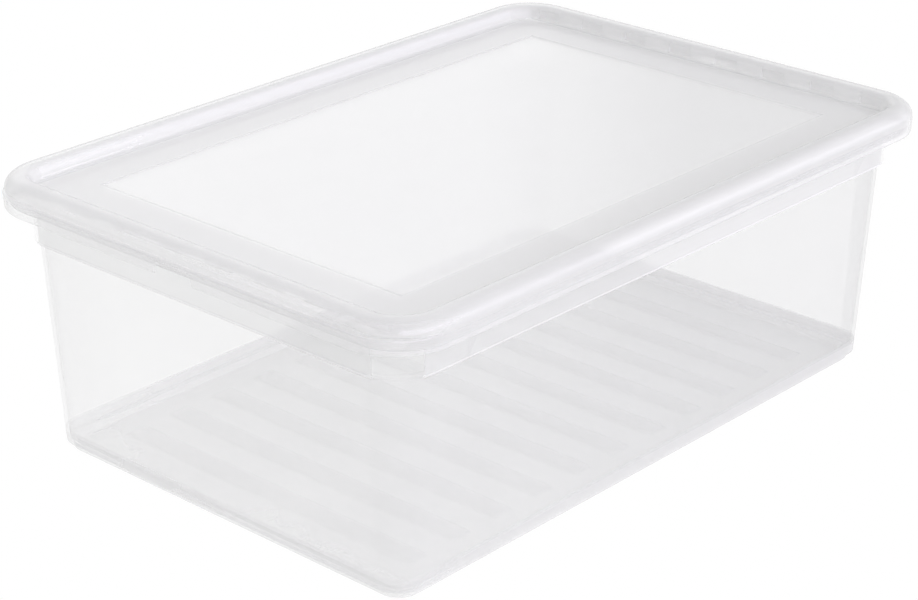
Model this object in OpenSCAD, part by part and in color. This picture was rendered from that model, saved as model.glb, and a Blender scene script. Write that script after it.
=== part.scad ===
// Clear storage box with a push-on lid.
// The box stands on z = 0 and is centred on X and Y; X is the long side.
// Every wall is drawn as a section (distance in from the lid's edge, height) and swept round the corners.

/* [Overall] */
// Length of the closed box over the lid's end lips
box_length = 390; // [300:1:480]
// Width of the closed box over the lid
box_width = 270; // [220:1:360]
// Height of the closed box, from the foot to the lid's crest
box_height = 140; // [110:1:220]

/* [Tub] */
// Thickness of the tub's walls
tub_wall = 1.6; // [1.2:0.1:2.4]
// Thickness of the tub's floor
floor_thickness = 1.8; // [1.2:0.1:3]
// Distance from the lid's edge in to the outside of the shoulder band
band_inset = 11.8; // [11:0.1:14]
// Height of the shoulder band below the rim flange
band_height = 17.8; // [8:0.1:30]
// Step from the shoulder band in to the wall
band_step = 2.3; // [2:0.1:4]
// How far each wall leans in from the band down to the foot
wall_draft = 6; // [1:0.1:9]
// Height of the stacking foot
foot_height = 4; // [3:0.1:6]
// Step from the wall in to the stacking foot
foot_step = 3.3; // [2.4:0.1:4.5]
// Radius of the tub's corners at the foot
foot_corner_radius = 10.5; // [8:0.5:20]

/* [Tub floor ribs] */
// Spacing of the floor ribs
rib_pitch = 28.4; // [20:0.1:50]
// Width of a floor rib at its top
rib_width = 11.4; // [6:0.1:13]
// Height of a floor rib
rib_height = 1.2; // [0.6:0.1:2.5]
// Run of a floor rib's sloping flank
rib_flank = 1.4; // [0.8:0.1:3]
// Plain floor left between the ribs and the foot's edge
rib_margin = 15; // [10:0.5:30]

/* [Tub rim] */
// Thickness of the rim flange
flange_thickness = 1.6; // [1.2:0.1:2.4]
// Thickness of the rib that stands on the flange and carries the lid
rim_rib_thickness = 1.6; // [1.2:0.1:2.4]
// Distance of the end gussets from the middle of a long side
gusset_offset = 142; // [40:1:150]
// Thickness of a gusset
gusset_thickness = 1.6; // [1.2:0.1:3]
// Reach of a gusset out from the shoulder band
gusset_reach = 7; // [4:0.1:8]

/* [Lid] */
// Thickness of the lid
lid_wall = 1.6; // [1.2:0.1:2.4]
// Height of the lid, from the skirt's edge to the crest
lid_height = 14.5; // [13:0.1:20]
// Corner radius of the lid's rim
lid_corner_radius = 28; // [24:0.5:36]
// Depth of the panel below the crest
panel_recess = 7; // [5:0.1:8]
// Width of the rim's outer shoulder, from the flank to the crest
shoulder_width = 7.5; // [7:0.1:9]
// Height of the rim's outer shoulder
shoulder_height = 6; // [4.5:0.1:7]
// Flat width of the crest
crest_width = 1; // [0.6:0.1:3]
// Width of the rim's inner slope, from the crest to the panel
slope_width = 6.7; // [6:0.1:10]

/* [Lid window] */
// Distance from the lid's ends to the clear window
window_end_margin = 42; // [34:1:70]
// Distance from the lid's long edges to the clear window
window_side_margin = 39; // [30:1:70]
// Depth of the clear window below the frosted panel
window_depth = 0.4; // [0.2:0.1:0.7]

/* [Lid ends] */
// How far the end lips stand out past the rim's flank
lip_out = 2.5; // [1.8:0.1:4]
// Height of an end lip
lip_height = 7.5; // [6:0.1:8]
// Angle that an end lip wraps round each corner
lip_wrap = 60; // [30:5:75]
// Number of pockets along an end's inner slope
pocket_count = 8; // [2:1:8]
// Spacing of the pockets
pocket_pitch = 30.4; // [18:0.1:31]
// Width of a pocket
pocket_width = 14; // [8:0.5:15]
// Thickness of a pocket's walls
pocket_wall = 1.4; // [1:0.1:2]
// Width of the finger notch in an end lip
notch_width = 23; // [16:1:60]
// Height of the finger notch
notch_height = 5; // [3:0.1:5.5]
// Length of the thumb ridge over the notch
ridge_length = 70; // [30:1:120]

/* [Fit] */
// Side clearance between the tub's flange and the lid's skirt
side_clearance = 0.5; // [0.3:0.1:1]
// Clearance between the tub's rim rib and the underside of the crest
seat_clearance = 0.3; // [0.2:0.1:0.8]
// Height of the skirt's edge below the underside of the flange
skirt_cover = 1.3; // [0.5:0.1:2]

/* [Hidden] */
$fn = 72;

half_l = box_length / 2;
half_w = box_width / 2;

// The lid's rim is set in from the end lips, so that its flank is a smaller rectangle.
rim_half_l = half_l - lip_out;
lid_path = [rim_half_l - lid_corner_radius, half_w - lid_corner_radius];
skirt_z = box_height - lid_height;
panel_z = box_height - panel_recess;
shoulder_z = box_height - shoulder_height;
crest_inset = shoulder_width + crest_width / 2;
slope_inset = shoulder_width + crest_width + slope_width;

// Insets of the tub are measured from the overall rectangle.
flange_z = skirt_z + skirt_cover;
flange_top = flange_z + flange_thickness;
band_z = flange_z - band_height;
wall_top_inset = band_inset + band_step;
wall_foot_inset = wall_top_inset + wall_draft;
foot_inset = wall_foot_inset + foot_step;
tub_centre_inset = foot_inset + foot_corner_radius;
tub_path = [half_l - tub_centre_inset, half_w - tub_centre_inset];
band_inner = band_inset + tub_wall;
rim_top = box_height - lid_wall - seat_clearance;
flange_inset = lid_wall + side_clearance;

// Points along a quarter of an ellipse, from angle a to angle b.
function arc_points(cx, cy, rx, ry, a, b, n = 8) =
    [for (i = [0:n]) let (t = a + (b - a) * i / n) [cx + rx * cos(t), cy + ry * sin(t)]];

// Sweeps a section round a rectangle with round corners. The corner centres are at +-path,
// and the section's X is the distance in from a line centre_inset outside those centres.
module sweep(section, path, centre_inset) {
    outward = [for (p = section) [centre_inset - p[0], p[1]]];
    for (i = [0:3]) {
        along = i % 2 == 0 ? path[1] : path[0];
        away = i % 2 == 0 ? path[0] : path[1];
        rotate([0, 0, 90 * i]) {
            translate([away, along, 0])
                rotate([90, 0, 0])
                    linear_extrude(2 * along)
                        polygon(outward);
            translate([away, along, 0])
                rotate_extrude(angle = 90)
                    polygon(outward);
        }
    }
}

// Outline of a rectangle with round corners, from its half sizes.
module round_rect(hx, hy, r) {
    square([2 * hx, 2 * (hy - r)], center = true);
    square([2 * (hx - r), 2 * hy], center = true);
    for (x = [-1, 1], y = [-1, 1])
        translate([x * (hx - r), y * (hy - r)])
            circle(r);
}

// Outline at a distance in from the overall rectangle, round the tub's own corner centres.
module tub_outline(inset) {
    round_rect(half_l - inset, half_w - inset, tub_centre_inset - inset);
}

// Outline at a distance in from the lid's flank, round the lid's corner centres.
module lid_outline(inset) {
    round_rect(rim_half_l - inset, half_w - inset, lid_corner_radius - inset);
}

// Repeats its children at both ends of the box.
module both_ends() {
    for (a = [0, 180])
        rotate([0, 0, a])
            children();
}

// Section of the tub's foot, wall and shoulder band, as one closed outline.
edge = 0.6;
foot_inner = foot_inset + tub_wall;
tub_section = [
    [foot_inner + 1, 0],
    [foot_inset + edge, 0],
    [foot_inset, edge],
    [foot_inset, foot_height - edge],
    [foot_inset - edge, foot_height],
    [wall_foot_inset + edge, foot_height],
    [wall_foot_inset, foot_height + edge],
    [wall_top_inset, band_z],
    [band_inset + 2 * edge, band_z],
    [band_inset + 0.3 * edge, band_z + 0.8 * edge],
    [band_inset, band_z + 2 * edge],
    [band_inset, flange_top],
    [band_inner, flange_top],
    [band_inner, band_z + tub_wall + edge],
    [band_inner + edge, band_z + tub_wall],
    [wall_top_inset + tub_wall, band_z + tub_wall],
    [wall_foot_inset + tub_wall, foot_height + tub_wall + edge],
    [wall_foot_inset + tub_wall + edge, foot_height + tub_wall],
    [foot_inner - edge, foot_height + tub_wall],
    [foot_inner, foot_height + tub_wall - edge],
    [foot_inner, floor_thickness],
    [foot_inner + 1, floor_thickness]
];

// Rows of soft ribs that run across the floor, with square ends.
rib_field = half_l - foot_inner - rib_margin;
rib_half = half_w - foot_inner - rib_margin;
rib_count = floor((2 * rib_field - rib_width) / rib_pitch) + 1;
rib_base = rib_width + 2 * rib_flank;

module floor_rib() {
    rotate([90, 0, 0])
        linear_extrude(2 * rib_half, center = true)
            polygon([[-rib_base / 2, -floor_thickness / 2], [rib_base / 2, -floor_thickness / 2], [rib_base / 2, 0],
                [rib_width / 2, rib_height], [-rib_width / 2, rib_height], [-rib_base / 2, 0]]);
}

module floor_ribs() {
    for (i = [0:rib_count - 1])
        translate([(i - (rib_count - 1) / 2) * rib_pitch, 0, floor_thickness])
            floor_rib();
}

// Upright web under the flange that stiffens a long side near its end.
module gusset() {
    root = half_w - band_inset - tub_wall / 2;
    tip = half_w - band_inset + gusset_reach;
    translate([-gusset_thickness / 2, 0, 0])
        rotate([90, 0, 90])
            linear_extrude(gusset_thickness)
                polygon([[root, band_z + 2 * edge], [root + tub_wall / 2 + edge, band_z + 2 * edge],
                    [tip, flange_z - 2 * edge], [tip, flange_z + edge], [root, flange_z + edge]]);
}

module tub() {
    color("#eef0f5") {
        sweep(tub_section, tub_path, tub_centre_inset);
        linear_extrude(floor_thickness)
            tub_outline(foot_inner + edge);
        floor_ribs();
        translate([0, 0, flange_z])
            linear_extrude(flange_thickness)
                difference() {
                    lid_outline(flange_inset);
                    tub_outline(band_inner);
                }
        translate([0, 0, flange_top - edge])
            linear_extrude(rim_top - flange_top + edge)
                difference() {
                    lid_outline(crest_inset - rim_rib_thickness / 2);
                    lid_outline(crest_inset + rim_rib_thickness / 2);
                }
        for (a = [0, 180], x = [-1, 1])
            rotate([0, 0, a])
                translate([x * gusset_offset, 0, 0])
                    gusset();
    }
}

// Section of the lid's rim: skirt, outer shoulder, crest and inner slope, as one shell.
slope_bottom = panel_z - lid_wall;
slope_round = 4;
lid_outer = concat(
    [[1.2, skirt_z], [0.3, skirt_z + 0.4], [0, skirt_z + 1.4]],
    arc_points(shoulder_width, shoulder_z, shoulder_width, shoulder_height, 180, 90),
    arc_points(shoulder_width + crest_width, box_height - 0.9 * slope_round, slope_round, 0.9 * slope_round,
        80, 25, 5),
    [[slope_inset - 0.8, panel_z + 0.7], [slope_inset, panel_z], [slope_inset + 1, panel_z]]);
lid_inner = concat(
    [[slope_inset + 1, slope_bottom], [slope_inset - lid_wall - 0.4, slope_bottom]],
    arc_points(shoulder_width + crest_width, box_height - 0.9 * slope_round,
        slope_round - lid_wall, 0.9 * slope_round - lid_wall, 20, 80, 4),
    arc_points(shoulder_width, shoulder_z, shoulder_width - lid_wall, shoulder_height - lid_wall, 90, 180),
    [[lid_wall, skirt_z + 0.6], [lid_wall + 0.4, skirt_z]]);

// Lip that stands out along each end, with its edge turned down.
lip_top = skirt_z + lip_height;
lip_path = [half_l - lid_corner_radius - lip_out, half_w - lid_corner_radius - lip_out];
lip_centre_inset = lid_corner_radius + lip_out;
lip_section = [
    [1.6, skirt_z],
    [0.5, skirt_z + 0.5],
    [0.25, skirt_z + 1.5],
    [0.25, skirt_z + lip_height - 2.6],
    [0, skirt_z + lip_height - 2.3],
    [0, lip_top - 1],
    [0.4, lip_top - 0.3],
    [1.2, lip_top],
    [lip_out + lid_wall / 2, lip_top + 0.3],
    [lip_out + lid_wall / 2, lip_top - lid_wall],
    [lid_wall + 0.4, lip_top - lid_wall],
    [lid_wall, lip_top - lid_wall - 0.4],
    [lid_wall, skirt_z + 0.6],
    [lid_wall + 0.5, skirt_z]
];

lip_outward = [for (p = lip_section) [lip_centre_inset - p[0], p[1]]];

module lip_corner() {
    translate([lip_path[0], lip_path[1], 0])
        rotate_extrude(angle = lip_wrap)
            polygon(lip_outward);
}

module end_lip() {
    lip_corner();
    mirror([0, 1, 0])
        lip_corner();
    translate([lip_path[0], lip_path[1], 0])
        rotate([90, 0, 0])
            linear_extrude(2 * lip_path[1])
                polygon(lip_outward);
}

// Space behind an end lip, where the rim's own skirt is cut away.
module behind_lip() {
    translate([rim_half_l - lid_wall - 1, -lip_path[1], skirt_z - 1])
        cube([lid_wall + 1.4, 2 * lip_path[1], lip_height - lid_wall + 1]);
}

// Finger notch through the lower edge of an end lip.
module finger_notch() {
    translate([half_l + 1, 0, skirt_z])
        rotate([0, -90, 0])
            linear_extrude(lip_out + 2 * lid_wall + 1)
                polygon([[-1, -notch_width / 2 - 1], [notch_height - 1.5, -notch_width / 2],
                    [notch_height, -notch_width / 2 + 2], [notch_height, notch_width / 2 - 2],
                    [notch_height - 1.5, notch_width / 2], [-1, notch_width / 2 + 1]]);
}

// Low ridge on an end's outer shoulder, for the thumbs.
module thumb_ridge() {
    translate([rim_half_l - 0.2 * shoulder_width, 0, shoulder_z + 0.6 * shoulder_height])
        rotate([90, 0, 0])
            linear_extrude(ridge_length, center = true)
                circle(0.8, $fn = 24);
}

// Pockets cored out of an end's inner slope: each block closes the hole that its void leaves.
// They stay clear of the tub's rim rib, which curves in towards them at the corners by pocket_set_in.
pocket_set_in = 1.5;
pocket_back = crest_inset + rim_rib_thickness / 2 + side_clearance + pocket_wall + pocket_set_in;
module along_pockets() {
    for (i = [0:pocket_count - 1])
        translate([0, (i - (pocket_count - 1) / 2) * pocket_pitch, 0])
            children();
}

module pocket_block() {
    width = pocket_width + 2 * pocket_wall;
    start = pocket_back - pocket_wall;
    top = box_height - 0.9 * slope_round;
    translate([rim_half_l, width / 2, 0])
        rotate([90, 0, 0])
            linear_extrude(width)
                polygon([[-start, slope_bottom], [-start, top + 0.6 * slope_round], [-pocket_back, top + 1.2],
                    [-slope_inset + 0.8, panel_z + 0.6], [-slope_inset, slope_bottom]]);
}

module pocket_void() {
    depth = slope_inset - pocket_back;
    translate([rim_half_l - pocket_back - depth - 1, -pocket_width / 2, panel_z])
        cube([depth + 1, pocket_width, panel_recess + 1]);
}

module window_recess() {
    translate([0, 0, panel_z - window_depth])
        linear_extrude(window_depth + 1)
            square([box_length - 2 * window_end_margin, box_width - 2 * window_side_margin], center = true);
}

module lid() {
    color("#e6e8ee")
        difference() {
            union() {
                difference() {
                    sweep(concat(lid_outer, lid_inner), lid_path, lid_corner_radius);
                    both_ends()
                        behind_lip();
                }
                translate([0, 0, slope_bottom])
                    linear_extrude(lid_wall)
                        lid_outline(slope_inset + 0.4);
                both_ends() {
                    end_lip();
                    thumb_ridge();
                    along_pockets()
                        pocket_block();
                }
            }
            both_ends() {
                finger_notch();
                along_pockets()
                    pocket_void();
            }
            window_recess();
        }
}

tub();
lid();
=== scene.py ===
"""Looks for the clear storage box: a hazy, see-through tub and its frosted lid with a clear window.

Sizes are in millimetres here and turned into metres where a point is placed. They repeat the CAD part's own.
"""

import math

import bmesh
import bpy
from mathutils import Matrix, Vector


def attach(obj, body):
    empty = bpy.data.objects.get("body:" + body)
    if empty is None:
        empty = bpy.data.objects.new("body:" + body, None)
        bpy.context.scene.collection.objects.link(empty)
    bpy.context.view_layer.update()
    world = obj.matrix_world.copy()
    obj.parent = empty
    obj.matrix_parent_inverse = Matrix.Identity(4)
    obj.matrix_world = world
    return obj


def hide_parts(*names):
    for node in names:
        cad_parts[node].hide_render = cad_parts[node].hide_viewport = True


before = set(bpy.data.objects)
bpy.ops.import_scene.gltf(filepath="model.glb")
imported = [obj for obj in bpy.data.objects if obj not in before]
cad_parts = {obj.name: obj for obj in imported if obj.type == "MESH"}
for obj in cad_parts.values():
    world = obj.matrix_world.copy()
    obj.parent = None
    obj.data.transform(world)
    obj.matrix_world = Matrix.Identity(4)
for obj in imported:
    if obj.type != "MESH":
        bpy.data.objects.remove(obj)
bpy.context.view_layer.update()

MM = 0.001

# Corner centres of each outline family, and the radius at an inset of nothing.
LID_LINE = (164.5, 107.0, 28.0)
LIP_LINE = (164.5, 104.5, 30.5)
TUB_LINE = (161.1, 101.1, 33.9)

PANEL_Z = 133.0
LID_UNDER = 131.4
SKIRT_Z = 125.5
LIP_TOP = 133.0
WINDOW = (153.0, 96.0)
WINDOW_DEPTH = 0.4
WINDOW_SLOPE = 0.5
WINDOW_END_SLOPE = 2.6

# Arcs of the rim's section, each the inset and height of its centre, its reach across and its rise.
RIM_OUTER = (7.5, 134.0, 7.5, 6.0)
RIM_INNER = (8.5, 136.4, 4.0, 3.6)
HOLLOW_OUTER = (7.5, 134.0, 5.9, 4.4)
HOLLOW_INNER = (8.5, 136.4, 2.4, 2.0)

POCKET_CENTRES = (15.2, 45.6, 76.0, 106.4)
POCKET_HALF = 7.0
POCKET_WALL = 1.4
NOTCH_RISE = 5.0
RIDGE_HALF = 35.0

HALF_LENGTH = 195.0
FLOOR_TOP = 1.8
BAND_Z = 109.0
FLANGE_Z = 126.8
RIB_COUNT = 11
RIB_PITCH = 28.4
RIB_HALF = 7.1
RIB_REACH = 95.0
RIB_SINK = 0.3
RIB_FLANK_STEPS = ((0.5, 0.08), (0.5, 0.3), (0.5, 0.42), (0.5, 0.3), (0.5, 0.1))
GUSSET_X = 142.0
GUSSET_HALF = 0.6
SOFT_STEPS = 3


# ---- outlines and sections -------------------------------------------------


def ease(value, low, high):
    """0 below low, 1 above high, and a smooth step between."""
    t = min(max((value - low) / (high - low), 0.0), 1.0)
    return t * t * (3 - 2 * t)


def drop(value, full, none):
    """1 up to full, straight down to 0 at none."""
    return min(max((none - value) / (none - full), 0.0), 1.0)


def run_on(along, reach, full):
    """Runs true along a side, and eases onto the outline's own corner centre over the last stretch."""
    start = 0.8 * full
    if along <= start:
        return along
    return start + (along - start) * (reach - start) / (full - start)


def place(line, station, inset, z):
    """Point at an inset from an outline, at a station of the quarter round the box."""
    kind, along = station
    cx, cy, radius = line
    r = radius - inset
    if kind == "end":
        x, y = cx + r, run_on(along, cy, LID_LINE[1])
    elif kind == "corner":
        a = math.radians(along)
        x, y = cx + r * math.cos(a), cy + r * math.sin(a)
    else:
        x, y = run_on(along, cx, LID_LINE[0]), cy + r
    return Vector((x, y, z)) * MM


def on_arc(arc, angle, out=1.0):
    """Inset and height of a point on one of the rim's arcs, or a share further out."""
    inset, z, across, rise = arc
    a = math.radians(angle)
    return inset + across * out * math.cos(a), z + rise * out * math.sin(a)


def softened(points):
    """Rounds each corner of a section that has a radius, as a small moulded edge."""
    out = []
    for i, (p, radius) in enumerate(points):
        if not radius:
            out.append(p)
            continue
        arms = [q - p for q in (points[i - 1][0], points[i + 1][0])]
        start, end = (p + arm * min(radius * MM / max(arm.length, 1e-7), 0.45) for arm in arms)
        for k in range(SOFT_STEPS + 1):
            t = k / SOFT_STEPS
            out.append((1 - t) ** 2 * start + 2 * t * (1 - t) * p + t * t * end)
    return out


def mirrored(bm, axis, merge):
    everything = bm.verts[:] + bm.edges[:] + bm.faces[:]
    bmesh.ops.mirror(bm, geom=everything, matrix=Matrix(), merge_dist=merge, axis=axis)


def quarter_shell(bm, stations, section_at):
    """Extrudes a section from station to station round one quarter, then mirrors it to the whole box."""
    row = [bm.verts.new(p) for p in section_at(stations[0])]
    edges = [bm.edges.new(pair) for pair in zip(row, row[1:])]
    for station in stations[1:]:
        made = bmesh.ops.extrude_edge_only(bm, edges=edges)["geom"]
        fresh = {v for v in made if isinstance(v, bmesh.types.BMVert)}
        row = [next(e.other_vert(v) for e in v.link_edges if e.other_vert(v) in fresh) for v in row]
        for v, p in zip(row, section_at(station)):
            v.co = p
        edges = [bm.edges.get(pair) for pair in zip(row, row[1:])]
    for axis in ("X", "Y"):
        mirrored(bm, axis, 1e-6)
    bmesh.ops.remove_doubles(bm, verts=bm.verts, dist=2e-6)
    bmesh.ops.dissolve_degenerate(bm, edges=bm.edges, dist=1e-6)


def open_loop(bm, z):
    """The open edges of a shell that lie at a height."""
    return [e for e in bm.edges if e.is_boundary and all(abs(v.co.z - z * MM) < 2e-5 for v in e.verts)]


# ---- lid --------------------------------------------------------------------

# Angles down the rim's outer shoulder, and how far the thumb ridge stands out at some of them.
SHOULDER = (90, 98, 106, 114, 121, 127, 132.6, 136.1, 139.6, 143.1, 146.6, 150.1, 153.6, 160, 167, 174, 180)
RIDGE_BUMP = {136.1: 0.25, 139.6: 0.6, 143.1: 0.72, 146.6: 0.6, 150.1: 0.25}
RIM_REACH = 7

# Degrees round the corner over which the end's form, the last pocket and that pocket's block run out.
END_FADE = (45, 80)
LAST_POCKET = (21, 24)
LAST_BLOCK = (27, 30)
# The finger notch comes down in two steps: the share of each, and where it runs along the end.
NOTCH_STEPS = ((0.3, 9.5, 11.5), (0.7, 11.5, 12.3))


def lid_weights(station):
    """How much of the end's form, a pocket, a pocket's block, the ridge and the notch a station has."""
    kind, along = station
    if kind == "side":
        return 0, 0, 0, 0, 0
    if kind == "corner":
        return 1 - ease(along, *END_FADE), drop(along, *LAST_POCKET), drop(along, *LAST_BLOCK), 0, 0
    away = min(abs(along - c) for c in POCKET_CENTRES)
    pocket = drop(away, POCKET_HALF - 0.4, POCKET_HALF + 0.1)
    block = drop(away, POCKET_HALF + POCKET_WALL - 0.2, POCKET_HALF + POCKET_WALL + 0.3)
    ridge = 1 - ease(along, RIDGE_HALF - 1.2, RIDGE_HALF + 1.4)
    notch = 1
    for share, start, end in NOTCH_STEPS:
        notch -= share * (1 - drop(along, start, end))
    return 1, pocket, block, ridge, notch


def lid_section(station):
    end, pocket, block, ridge, notch = lid_weights(station)
    points = []

    def add(side, ends=None, radius=0.0):
        a = place(*[side[0], station, *side[1:]])
        b = a if ends is None else place(*[ends[0], station, *ends[1:]])
        points.append((a.lerp(b, end), radius))

    def mould(inset, z, to_inset, to_z, share, radius=0.0):
        add((LID_LINE, inset + (to_inset - inset) * share, z + (to_z - z) * share), radius=radius)

    def lip(inset, z, side_inset, side_z, radius=0.0):
        low = SKIRT_Z + NOTCH_RISE * notch
        z = low + (z - SKIRT_Z) * (LIP_TOP - low) / (LIP_TOP - SKIRT_Z)
        add((LID_LINE, side_inset, side_z), (LIP_LINE, inset, z), radius)

    # top of the panel, then up the inner slope, with a pocket cut down into it
    add((LID_LINE, 18.5, PANEL_Z))
    mould(14.3, PANEL_Z, 14.3, PANEL_Z, 0, 0.8)
    mould(13.4, 133.9, 12.7, PANEL_Z, pocket, 0.5)
    mould(12.9, 136.5, 12.3, 133.5, pocket)
    for angle, low in ((20, 135.0), (30, 136.6), (40, 137.6)):
        mould(*on_arc(RIM_INNER, angle), 12.2, low, pocket)
    for angle in (50, 60, 70, 80):
        add((LID_LINE, *on_arc(RIM_INNER, angle)))
    add((LID_LINE, 8.5, 140.0))
    # over the crest and down the fat outer shoulder
    for angle in SHOULDER:
        add((LID_LINE, *on_arc(RIM_OUTER, angle, 1 + ridge * RIDGE_BUMP.get(angle, 0) / RIM_REACH)))
    # end lip, or the plain flank on the long sides
    lip(2.5, 133.2, 0, 133.2, 0.4)
    lip(0, 132.9, 0, 132.6, 0.8)
    lip(0, 130.7, 0, 130.8)
    lip(0.3, 130.35, 0, 130.4)
    lip(0.3, 126.4, 0, 126.4, 0.5)
    lip(0.9, SKIRT_Z, 0.7, SKIRT_Z, 0.3)
    lip(1.9, SKIRT_Z, 1.9, SKIRT_Z, 0.25)
    lip(1.6, 126.2, 1.6, 126.2)
    lip(1.6, 131.4, 1.6, 131.0, 0.4)
    add((LID_LINE, 1.6, 132.0), (LID_LINE, 1.6, 131.4), 0.2)
    # underside
    for angle in (180, 165, 150, 135, 120, 105, 90):
        add((LID_LINE, *on_arc(HOLLOW_OUTER, angle)))
    add((LID_LINE, 8.5, 138.4))
    for angle, low in ((70, 138.0), (50, 137.2), (30, 134.5)):
        mould(*on_arc(HOLLOW_INNER, angle), 10.6, low, block)
    mould(11.9, 134.5, 10.7, 132.4, block)
    mould(13.6, LID_UNDER, 11.1, LID_UNDER, block, 0.4)
    add((LID_LINE, 18.5, LID_UNDER))
    return softened(points)


def lid_stations():
    marks = {0.0, 4.5, 8.8, 9.5, 10.2, 11.5, 11.9, 12.3, 12.9, 33.0, 33.8, 34.6, 35.4, 36.4, 37.2, 107.0}
    for centre in POCKET_CENTRES:
        for away in (0, 3.5, 6.0, 6.6, 7.1, 7.6, 8.2, 8.7, 9.4, 12.0):
            marks |= {y for y in (centre - away, centre + away) if 0 <= y < 106.9}
    ends = [("end", y) for y in sorted(marks)]
    corner = [("corner", a) for a in (6, 12, 17, 20, 21, 24, 27, 30, 34, *range(39, 91, 4), 90)]
    sides = [("side", x) for x in (160, 150, 140, 120, 90, 60, 30, 0)]
    return ends + corner + sides


def make_lid():
    bm = bmesh.new()
    quarter_shell(bm, lid_stations(), lid_section)
    # the panel's top, with the window as a shallow step with sharp corners
    rim = open_loop(bm, PANEL_Z)
    corners = [bm.verts.new(Vector((x, y, PANEL_Z)) * MM) for x, y in (
        (-WINDOW[0], -WINDOW[1]), (WINDOW[0], -WINDOW[1]), (WINDOW[0], WINDOW[1]), (-WINDOW[0], WINDOW[1]))]
    frame_edges = [bm.edges.new((corners[i], corners[(i + 1) % 4])) for i in range(4)]
    bmesh.ops.triangle_fill(bm, use_beauty=True, use_dissolve=False, edges=rim + frame_edges)
    pane = bm.faces.new(corners)
    bmesh.ops.inset_region(bm, faces=[pane], thickness=WINDOW_SLOPE * MM, depth=0.0)
    for v in pane.verts:
        v.co.x -= math.copysign(WINDOW_END_SLOPE - WINDOW_SLOPE, v.co.x) * MM
        v.co.z -= WINDOW_DEPTH * MM
    bmesh.ops.holes_fill(bm, edges=open_loop(bm, LID_UNDER), sides=0)
    piece = finish_piece(bm, "lid_shell", "lid", 32)
    for edge in piece.data.edges:
        if all(on_window(piece.data.vertices[i].co) for i in edge.vertices):
            edge.use_edge_sharp = True
    return piece


def on_window(v):
    """Whether a point is on the window's step or pane, which keep their sharp edges."""
    spare = 0.01
    return (abs(v.x) <= (WINDOW[0] + spare) * MM and abs(v.y) <= (WINDOW[1] + spare) * MM
            and (PANEL_Z - WINDOW_DEPTH - spare) * MM < v.z < (PANEL_Z + spare) * MM)


# ---- tub --------------------------------------------------------------------


def tub_section(station):
    # outline, inset, height and edge radius of each corner, from the foot up the outside and down the inside
    rows = [
        # underside and stacking foot
        (TUB_LINE, 28.0, 0.0, 0), (TUB_LINE, 23.4, 0.0, 0.8),
        (TUB_LINE, 23.4, 4.0, 0.7), (TUB_LINE, 20.1, 4.0, 0.8),
        # outside of the wall
        (TUB_LINE, 19.8, 10.0, 0), (TUB_LINE, 17.1, 57.0, 0), (TUB_LINE, 14.1, BAND_Z, 0.4),
        # shoulder band, with a bead along its lower edge
        (TUB_LINE, 11.8, BAND_Z, 0.4), (TUB_LINE, 11.45, 109.6, 0.5), (TUB_LINE, 11.8, 110.6, 0.4),
        (TUB_LINE, 11.8, 118.0, 0), (TUB_LINE, 11.8, FLANGE_Z, 0.6),
        # flange, and the rib on it that carries the lid
        (LID_LINE, 2.1, FLANGE_Z, 0.4), (LID_LINE, 2.1, 128.4, 0.4), (LID_LINE, 7.2, 128.4, 0.4),
        (LID_LINE, 7.2, 138.1, 0.5), (LID_LINE, 8.8, 138.1, 0.5), (LID_LINE, 8.8, 128.4, 0.3),
        # inside of the band and the wall
        (TUB_LINE, 13.4, 128.4, 0.8), (TUB_LINE, 13.4, 110.6, 0.8), (TUB_LINE, 15.7, 110.6, 1.2),
        (TUB_LINE, 18.7, 57.0, 0), (TUB_LINE, 21.5, 10.0, 0),
        # inside of the foot and the floor
        (TUB_LINE, 21.7, 5.6, 0.7), (TUB_LINE, 25.0, 5.6, 0.7),
        (TUB_LINE, 25.0, FLOOR_TOP, 1.2), (TUB_LINE, 28.0, FLOOR_TOP, 0),
    ]
    return softened([(place(line, station, inset, z), radius) for line, inset, z, radius in rows])


def tub_stations():
    ends = [("end", y) for y in (0, 15, 30, 45, 60, 75, 85, 90, 95, 100, 104, 107)]
    corner = [("corner", a) for a in (*range(4, 85, 4), 90)]
    sides = [("side", x) for x in (160, 150, 140, 131, 120, 100, 80, 60, 40, 20, 0)]
    return ends + corner + sides


def make_tub():
    bm = bmesh.new()
    quarter_shell(bm, tub_stations(), tub_section)
    for z in (0.0, FLOOR_TOP):
        bmesh.ops.holes_fill(bm, edges=open_loop(bm, z), sides=0)
    return finish_piece(bm, "tub_shell", "tub", 32)


def make_floor_ribs():
    """Low soft ribs across the floor, each a square-ended strip that rises in a few small steps."""
    bm = bmesh.new()
    for i in range(RIB_COUNT):
        x = (i - (RIB_COUNT - 1) / 2) * RIB_PITCH
        base = bmesh.ops.create_grid(bm, x_segments=1, y_segments=1, size=1.0)["verts"]
        for v in base:
            across, along = math.copysign(RIB_HALF, v.co.x), math.copysign(RIB_REACH, v.co.y)
            v.co = Vector((x + across, along, FLOOR_TOP - RIB_SINK)) * MM
        top = base[0].link_faces[0]
        if top.normal.z < 0:
            top.normal_flip()
        raised = bmesh.ops.extrude_face_region(bm, geom=[top])["geom"]
        top = next(f for f in raised if isinstance(f, bmesh.types.BMFace))
        bmesh.ops.translate(bm, verts=top.verts, vec=(0, 0, RIB_SINK * MM))
        top.normal_update()
        for run, rise in RIB_FLANK_STEPS:
            bmesh.ops.inset_region(bm, faces=[top], thickness=run * MM, depth=rise * MM)
    return finish_piece(bm, "tub_floor_ribs", "tub", 40)


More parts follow.
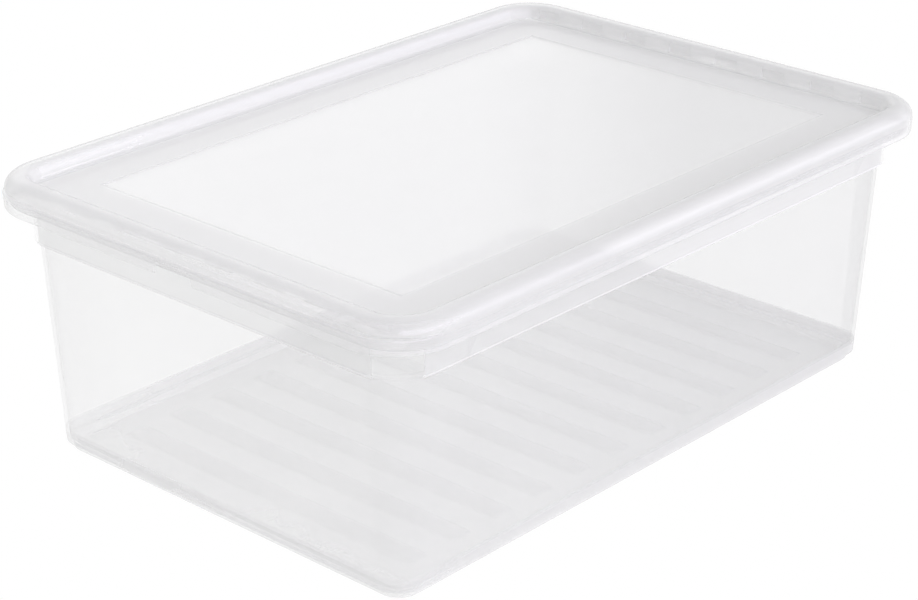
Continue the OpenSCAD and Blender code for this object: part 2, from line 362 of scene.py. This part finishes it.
def make_gussets():
    """Upright webs under the flange near the ends of the long sides."""
    bm = bmesh.new()
    shape = ((-122.2, 110.2), (-123.8, 110.2), (-130.2, 125.6), (-130.2, 127.2), (-122.2, 127.2))
    for x in (-GUSSET_X, GUSSET_X):
        face = bm.faces.new([bm.verts.new(Vector((x - GUSSET_HALF, y, z)) * MM) for y, z in shape])
        swept = bmesh.ops.extrude_face_region(bm, geom=[face])["geom"]
        swept = [v for v in swept if isinstance(v, bmesh.types.BMVert)]
        bmesh.ops.translate(bm, verts=swept, vec=(2 * GUSSET_HALF * MM, 0, 0))
    mirrored(bm, "Y", -1)
    bmesh.ops.bevel(bm, geom=bm.edges[:], offset=0.25 * MM, affect="EDGES", segments=2, profile=0.5,
                    material=-1)
    return finish_piece(bm, "tub_gussets", "tub", 40)


def finish_piece(bm, name, body, sharp):
    """Makes the object from its mesh, shades it by angle and lets it ride on its body."""
    bmesh.ops.recalc_face_normals(bm, faces=bm.faces[:])
    if bm.calc_volume(signed=True) < 0:
        bmesh.ops.reverse_faces(bm, faces=bm.faces[:])
    mesh = bpy.data.meshes.new(name)
    bm.to_mesh(mesh)
    bm.free()
    mesh.shade_smooth()
    mesh.set_sharp_from_angle(angle=math.radians(sharp))
    piece = bpy.data.objects.new(name, mesh)
    bpy.context.scene.collection.objects.link(piece)
    weighted = piece.modifiers.new("even_shading", "WEIGHTED_NORMAL")
    weighted.keep_sharp = True
    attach(piece, body)
    return piece


# ---- materials --------------------------------------------------------------


def node(tree, kind, values=None, **settings):
    made = tree.nodes.new(kind)
    for key, value in settings.items():
        setattr(made, key, value)
    for key, value in (values or {}).items():
        if isinstance(value, bpy.types.NodeSocket):
            tree.links.new(value, made.inputs[key])
        else:
            made.inputs[key].default_value = value
    return made


def sum_of(tree, operation, *values):
    return node(tree, "ShaderNodeMath", dict(enumerate(values)), operation=operation).outputs[0]


def start_group(name, inputs, outputs):
    tree = bpy.data.node_groups.new(name, "ShaderNodeTree")
    for label, default in inputs.items():
        kind = "NodeSocketColor" if isinstance(default, tuple) else "NodeSocketFloat"
        tree.interface.new_socket(name=label, in_out="INPUT", socket_type=kind).default_value = default
    for label, kind in outputs.items():
        tree.interface.new_socket(name=label, in_out="OUTPUT", socket_type=kind)
    return tree, tree.nodes.new("NodeGroupInput"), tree.nodes.new("NodeGroupOutput")


def make_mould_grain():
    """Fine matt grain of a spark-eroded mould: a height for bump, and a tone that flickers about 1."""
    tree, given, out = start_group("mould_grain", {"Size": 0.5, "Tone": 0.04},
                                   {"Height": "NodeSocketFloat", "Tone": "NodeSocketFloat"})
    place_at = node(tree, "ShaderNodeTexCoord").outputs["Object"]
    fineness = sum_of(tree, "DIVIDE", 1000.0, given.outputs["Size"])
    noise = {"Vector": place_at, "Scale": fineness, "Detail": 1.0, "Roughness": 0.6}
    grain = node(tree, "ShaderNodeTexNoise", noise).outputs["Fac"]
    tree.links.new(grain, out.inputs["Height"])
    tone = sum_of(tree, "MULTIPLY_ADD", sum_of(tree, "SUBTRACT", grain, 0.5), given.outputs["Tone"], 1.0)
    tree.links.new(tone, out.inputs["Tone"])
    return tree


def make_flow_haze():
    """Cloudiness of moulded plastic: soft clouds drawn out along the flow, plus a share that rises straight
    from the -X end to the +X end.
    """
    tree, given, out = start_group("flow_haze", {"Clouds": 0.2, "Drift": 0.3}, {"Value": "NodeSocketFloat"})
    place_at = node(tree, "ShaderNodeTexCoord").outputs["Object"]
    drawn = node(tree, "ShaderNodeMapping", {"Vector": place_at, "Scale": (6.0, 14.0, 14.0)}).outputs[0]
    noise = {"Vector": drawn, "Scale": 1.0, "Detail": 2.0, "Roughness": 0.6}
    clouds = node(tree, "ShaderNodeTexNoise", noise).outputs["Fac"]
    cloudy = sum_of(tree, "MULTIPLY_ADD", sum_of(tree, "SUBTRACT", clouds, 0.5), given.outputs["Clouds"], 1.0)
    x = node(tree, "ShaderNodeSeparateXYZ", {0: place_at}).outputs["X"]
    along = sum_of(tree, "DIVIDE", x, HALF_LENGTH * MM)
    drift = sum_of(tree, "MULTIPLY_ADD", along, given.outputs["Drift"], cloudy)
    tree.links.new(drift, out.inputs["Value"])
    return tree


def make_handling_marks():
    """Hairline scuffs from use, broken up so that they come and go."""
    tree, given, out = start_group("handling_marks", {"Amount": 0.5}, {"Mask": "NodeSocketFloat"})
    place_at = node(tree, "ShaderNodeTexCoord").outputs["Object"]
    drawn_out = {"Vector": place_at, "Rotation": (0.4, 0.3, 0.5), "Scale": (90.0, 1300.0, 1300.0)}
    turned = node(tree, "ShaderNodeMapping", drawn_out).outputs[0]
    lines = node(tree, "ShaderNodeTexNoise", {"Vector": turned, "Scale": 1.0, "Detail": 0.0}).outputs["Fac"]
    darkest = {"Value": lines, "From Min": 0.7, "From Max": 0.8}
    mask = node(tree, "ShaderNodeMapRange", darkest).outputs["Result"]
    tree.links.new(sum_of(tree, "MULTIPLY", mask, given.outputs["Amount"]), out.inputs["Mask"])
    return tree


def make_oblong():
    """1 inside an upright block about the middle of the box, and 0 outside, with a soft or sharp edge."""
    whole = {"Half X": 1.0, "Half Y": 1.0, "Bottom": -1.0, "Top": 1.0, "Soft": 0.001}
    tree, given, out = start_group("oblong", whole, {"Mask": "NodeSocketFloat"})
    place_at = node(tree, "ShaderNodeTexCoord").outputs["Object"]
    axes = node(tree, "ShaderNodeSeparateXYZ", {0: place_at})
    inside = [sum_of(tree, "SUBTRACT", given.outputs[limit], sum_of(tree, "ABSOLUTE", axes.outputs[axis]))
              for axis, limit in (("X", "Half X"), ("Y", "Half Y"))]
    inside.append(sum_of(tree, "SUBTRACT", given.outputs["Top"], axes.outputs["Z"]))
    inside.append(sum_of(tree, "SUBTRACT", axes.outputs["Z"], given.outputs["Bottom"]))
    pairs = [sum_of(tree, "MINIMUM", *pair) for pair in (inside[:2], inside[2:])]
    least = sum_of(tree, "MINIMUM", *pairs)
    edge = {"Value": least, "From Min": 0.0, "From Max": given.outputs["Soft"]}
    tree.links.new(node(tree, "ShaderNodeMapRange", edge).outputs["Result"], out.inputs["Mask"])
    return tree


TINT = (0.999, 0.998, 1.0)
# How late a surface's cover turns from its face-on to its edge-on value as it is seen more along itself.
EDGE_POWER = 2.2
FAR_SIDE_SHARE = 0.15
GRAIN = make_mould_grain()
HAZE = make_flow_haze()
MARKS = make_handling_marks()
OBLONG = make_oblong()


def use(tree, group, values):
    made = tree.nodes.new("ShaderNodeGroup")
    made.node_tree = group
    for key, value in values.items():
        if isinstance(value, bpy.types.NodeSocket):
            tree.links.new(value, made.inputs[key])
        else:
            made.inputs[key].default_value = value
    return made.outputs


def blend_values(tree, share, a, b):
    return node(tree, "ShaderNodeMapRange", {"Value": share, "To Min": a, "To Max": b}).outputs["Result"]


def blend_colours(tree, share, a, b):
    made = node(tree, "ShaderNodeMix", data_type="RGBA")
    for index, value in ((0, share), (6, a), (7, b)):
        if isinstance(value, bpy.types.NodeSocket):
            tree.links.new(value, made.inputs[index])
        else:
            made.inputs[index].default_value = value
    return made.outputs[2]


def block(half_x=None, half_y=None, bottom=None, top=None, soft=1.0):
    """Limits in millimetres of the oblong that a finish fills. One that isn't given doesn't limit it."""
    limits = {"Half X": half_x, "Half Y": half_y, "Bottom": bottom, "Top": top, "Soft": soft}
    return {key: value * MM for key, value in limits.items() if value is not None}


def plastic(name, finish, *zones, clouds=0.3, drift=0.0, one_sided=None):
    """Hazy see-through plastic: more of it is seen, and less of what is behind it, towards its edges.

    Each zone is a block of the piece with a finish of its own. In the block one_sided, the far side of each
    surface is almost clear.
    """
    material = bpy.data.materials.new(name)
    material.use_nodes = True
    tree = material.node_tree
    tree.nodes.clear()
    shader = tree.nodes.new("ShaderNodeBsdfPrincipled")
    tree.links.new(shader.outputs[0], tree.nodes.new("ShaderNodeOutputMaterial").inputs["Surface"])
    shader.inputs["IOR"].default_value = 1.49
    shader.inputs["Specular IOR Level"].default_value = 1.0
    shader.inputs["Coat Weight"].default_value = 1.0
    shader.inputs["Coat Roughness"].default_value = 0.14
    grain = use(tree, GRAIN, {"Size": 0.55, "Tone": 0.05})
    haze = use(tree, HAZE, {"Clouds": clouds, "Drift": drift})["Value"]
    marks = use(tree, MARKS, {"Amount": 0.3})["Mask"]
    facing = node(tree, "ShaderNodeLayerWeight", {"Blend": 0.5}).outputs["Facing"]
    facing = sum_of(tree, "POWER", facing, EDGE_POWER)
    bright, face_on, edge_on, rough, height = finish
    for limits, other in zones:
        mask = use(tree, OBLONG, limits)["Mask"]
        bright, face_on, edge_on, rough, height = (
            blend_values(tree, mask, a, b) for a, b in zip((bright, face_on, edge_on, rough, height), other))
    tone = sum_of(tree, "MULTIPLY", grain["Tone"], bright)
    tinted = node(tree, "ShaderNodeVectorMath", {0: TINT, "Scale": tone}, operation="SCALE")
    tree.links.new(tinted.outputs[0], shader.inputs["Base Color"])
    cover = sum_of(tree, "MULTIPLY", blend_values(tree, facing, face_on, edge_on), haze)
    if one_sided:
        behind = sum_of(tree, "MULTIPLY", use(tree, OBLONG, one_sided)["Mask"],
                        node(tree, "ShaderNodeNewGeometry").outputs["Backfacing"])
        cover = sum_of(tree, "MULTIPLY", cover, blend_values(tree, behind, 1.0, FAR_SIDE_SHARE))
    cover = sum_of(tree, "MINIMUM", sum_of(tree, "MULTIPLY_ADD", marks, 0.02, cover), 1.0)
    tree.links.new(cover, shader.inputs["Alpha"])
    tree.links.new(sum_of(tree, "MULTIPLY_ADD", marks, 0.05, rough), shader.inputs["Roughness"])
    relief = sum_of(tree, "MULTIPLY", grain["Height"], height)
    bump = node(tree, "ShaderNodeBump", {"Strength": 0.5, "Distance": 0.00012, "Height": relief})
    tree.links.new(bump.outputs[0], shader.inputs["Normal"])
    return material


def show(piece, material, *replaced):
    piece.data.materials.append(material)
    if replaced:
        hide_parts(*replaced)


# Brightness, face-on cover, edge-on cover, roughness and grain height of each part of the two mouldings.
LID_RIM = (0.988, 0.294, 0.738, 0.22, 0.15)
LID_SKIRT = (1.0, 0.20, 0.62, 0.26, 0.2)
LID_BORDER = (0.95, 0.60, 0.85, 0.70, 0.5)
LID_WINDOW = (0.99, 0.384, 0.60, 0.10, 0.1)
TUB_WALL = (0.83, 0.075, 0.35, 0.24, 0.4)
# The tub's rounded corners: a darker tone and more face-on cover, which is painted shade.
TUB_CORNER_PAINTED_SHADE = (0.80, 0.12, 0.26, 0.24, 0.4)
TUB_FLOOR = (0.88, 0.34, 0.60, 0.34, 0.2)
TUB_BAND = (0.815, 0.58, 0.72, 0.30, 0.5)
BAND_INSIDE = (0.90, 0.06, 0.25, 0.30, 0.3)
# A lighter, denser strip along the band's lower edge: a painted highlight.
BAND_EDGE_PAINTED_HIGHLIGHT = (0.95, 0.75, 0.90, 0.30, 0.0)
TUB_FLANGE = (0.955, 0.15, 0.40, 0.30, 0.6)
RIB_FOOT = (0.90, 0.005, 0.02, 0.30, 0.2)
RIB_TOP = (0.84, 0.09, 0.38, 0.30, 0.2)
GUSSET = (0.99, 0.02, 0.06, 0.30, 0.4)

# Where they meet: half sizes of the frosted panel and of the space inside the band, and heights.
FROSTED_PANEL = (175.5, 118.0)
WITHIN_BAND = (182.6, 122.6)
SKIRT_TOP = 132.5
FOOT_TOP = 10.4

lid_plastic = plastic(
    "frosted_lid_plastic", LID_RIM,
    (block(top=SKIRT_TOP), LID_SKIRT),
    (block(*FROSTED_PANEL, bottom=LID_UNDER - 1.4, top=PANEL_Z + 0.6), LID_BORDER),
    (block(*WINDOW, soft=0.2), LID_WINDOW),
    clouds=0.12, drift=0.1)
# Besides the plastic, the tub's zones hold painted shade at its corners and a painted highlight along the
# band's lower edge.
tub_plastic = plastic(
    "clear_tub_plastic_with_painted_light", TUB_CORNER_PAINTED_SHADE,
    (block(half_x=TUB_LINE[0], soft=30.0), TUB_WALL),
    (block(half_y=TUB_LINE[1]), TUB_WALL),
    (block(top=FOOT_TOP, soft=0.6), TUB_FLOOR),
    (block(bottom=BAND_Z - 0.5, soft=0.6), TUB_BAND),
    (block(bottom=BAND_Z - 0.2, top=BAND_Z + 1.3, soft=0.3), BAND_EDGE_PAINTED_HIGHLIGHT),
    (block(*WITHIN_BAND, bottom=BAND_Z - 0.5, soft=0.3), BAND_INSIDE),
    (block(bottom=FLANGE_Z + 0.2), TUB_FLANGE),
    drift=0.3, one_sided=block(bottom=BAND_Z - 0.5, top=FLANGE_Z, soft=0.3))
rib_plastic = plastic(
    "floor_rib_plastic", RIB_FOOT,
    (block(bottom=FLOOR_TOP + 0.1, soft=1.1), RIB_TOP),
    clouds=0.9, drift=0.2)
gusset_plastic = plastic("gusset_plastic", GUSSET)

show(make_tub(), tub_plastic, "tub")
show(make_floor_ribs(), rib_plastic)
show(make_gussets(), gusset_plastic)
show(make_lid(), lid_plastic, "lid")


# ---- set, light and camera ---------------------------------------------------


STUDIO_HALF = 12000
STUDIO_GAP = 0.3
FLOOR_LIGHT = 0.827
ROOM_LIGHT = 0.686
RIGHT_BOX = 1.34
BACK_BOX = 0.54
LEFT_BOX = 0.50
DIM_SIDE = -0.47
# How soft a softbox's sides, lower edge and upper edge are, in degrees.
SIDE_SOFT, LOW_SOFT, HIGH_SOFT = 3, 3, 8
# Each softbox: bearing and half width in degrees, lowest and highest elevation, strength and tint.
SOFTBOXES = (
    (-85, 54, 4, 42, RIGHT_BOX, (0.94, 0.915, 1.0)),
    (56, 17, 12, 34, BACK_BOX, (1.0, 1.0, 1.0)),
    (152, 20, 12, 40, LEFT_BOX, (1.0, 1.0, 1.0)),
    (-162, 20, 0, 60, DIM_SIDE, (1.0, 1.0, 1.0)),
)


def make_floor():
    bm = bmesh.new()
    bmesh.ops.create_grid(bm, x_segments=1, y_segments=1, size=STUDIO_HALF * MM)
    bmesh.ops.translate(bm, verts=bm.verts, vec=(0, 0, -STUDIO_GAP * MM))
    mesh = bpy.data.meshes.new("studio_floor")
    bm.to_mesh(mesh)
    bm.free()
    floor = bpy.data.objects.new("studio_floor", mesh)
    bpy.context.scene.collection.objects.link(floor)
    material = bpy.data.materials.new("studio_white")
    material.use_nodes = True
    tree = material.node_tree
    tree.nodes.clear()
    seen = node(tree, "ShaderNodeLightPath").outputs["Is Camera Ray"]
    glow = node(tree, "ShaderNodeEmission", {"Strength": blend_values(tree, seen, FLOOR_LIGHT, 1.0)})
    tree.links.new(glow.outputs[0], tree.nodes.new("ShaderNodeOutputMaterial").inputs["Surface"])
    mesh.materials.append(material)


def make_world():
    """White all round to the camera. Where it lights the box it is a dimmer room with softboxes in it."""
    world = bpy.data.worlds.new("studio_surround")
    bpy.context.scene.world = world
    world.use_nodes = True
    tree = world.node_tree
    background = tree.nodes["Background"]
    ray = node(tree, "ShaderNodeTexCoord").outputs["Generated"]
    axes = node(tree, "ShaderNodeSeparateXYZ", {0: ray})
    up = axes.outputs["Z"]
    level = node(tree, "ShaderNodeCombineXYZ", {"X": axes.outputs["X"], "Y": axes.outputs["Y"]}).outputs[0]
    level = node(tree, "ShaderNodeVectorMath", {0: level}, operation="NORMALIZE").outputs["Vector"]

    def step(value, low, high):
        return node(tree, "ShaderNodeMapRange", {"Value": value, "From Min": low, "From Max": high},
                    interpolation_type="SMOOTHSTEP").outputs["Result"]

    light = ROOM_LIGHT
    colour = (1, 1, 1, 1)
    for bearing, half, low, high, strength, tint in SOFTBOXES:
        a = math.radians(bearing)
        towards = {0: level, 1: (math.cos(a), math.sin(a), 0)}
        aim = node(tree, "ShaderNodeVectorMath", towards, operation="DOT_PRODUCT").outputs["Value"]
        patch = step(aim, *(math.cos(math.radians(half + soft)) for soft in (SIDE_SOFT, -SIDE_SOFT)))
        for edge in ((low - LOW_SOFT, low + LOW_SOFT), (high + HIGH_SOFT, high - HIGH_SOFT)):
            patch = sum_of(tree, "MULTIPLY", patch, step(up, *(math.sin(math.radians(e)) for e in edge)))
        light = sum_of(tree, "MULTIPLY_ADD", patch, strength, light)
        colour = blend_colours(tree, patch, colour, (*tint, 1))
    seen = node(tree, "ShaderNodeLightPath").outputs["Is Camera Ray"]
    tree.links.new(blend_values(tree, seen, light, 1.0), background.inputs["Strength"])
    tree.links.new(blend_colours(tree, seen, colour, (1, 1, 1, 1)), background.inputs["Color"])


def make_camera():
    data = bpy.data.cameras.new("camera")
    data.sensor_fit = "HORIZONTAL"
    data.sensor_width = 36.0
    data.lens = 97.935
    camera = bpy.data.objects.new("camera", data)
    camera.location = (-0.8400, -0.7536, 0.5493)
    yaw, pitch = math.radians(42.2955), math.radians(23.7293)
    look = Vector((math.cos(yaw) * math.cos(pitch), math.sin(yaw) * math.cos(pitch), -math.sin(pitch)))
    camera.rotation_euler = look.to_track_quat("-Z", "Y").to_euler()
    bpy.context.scene.collection.objects.link(camera)
    bpy.context.scene.camera = camera


make_floor()
make_world()
make_camera()
bpy.context.scene.view_settings.view_transform = "Standard"
bpy.context.scene.cycles.transparent_max_bounces = 40
bpy.context.scene.cycles.diffuse_bounces = 3
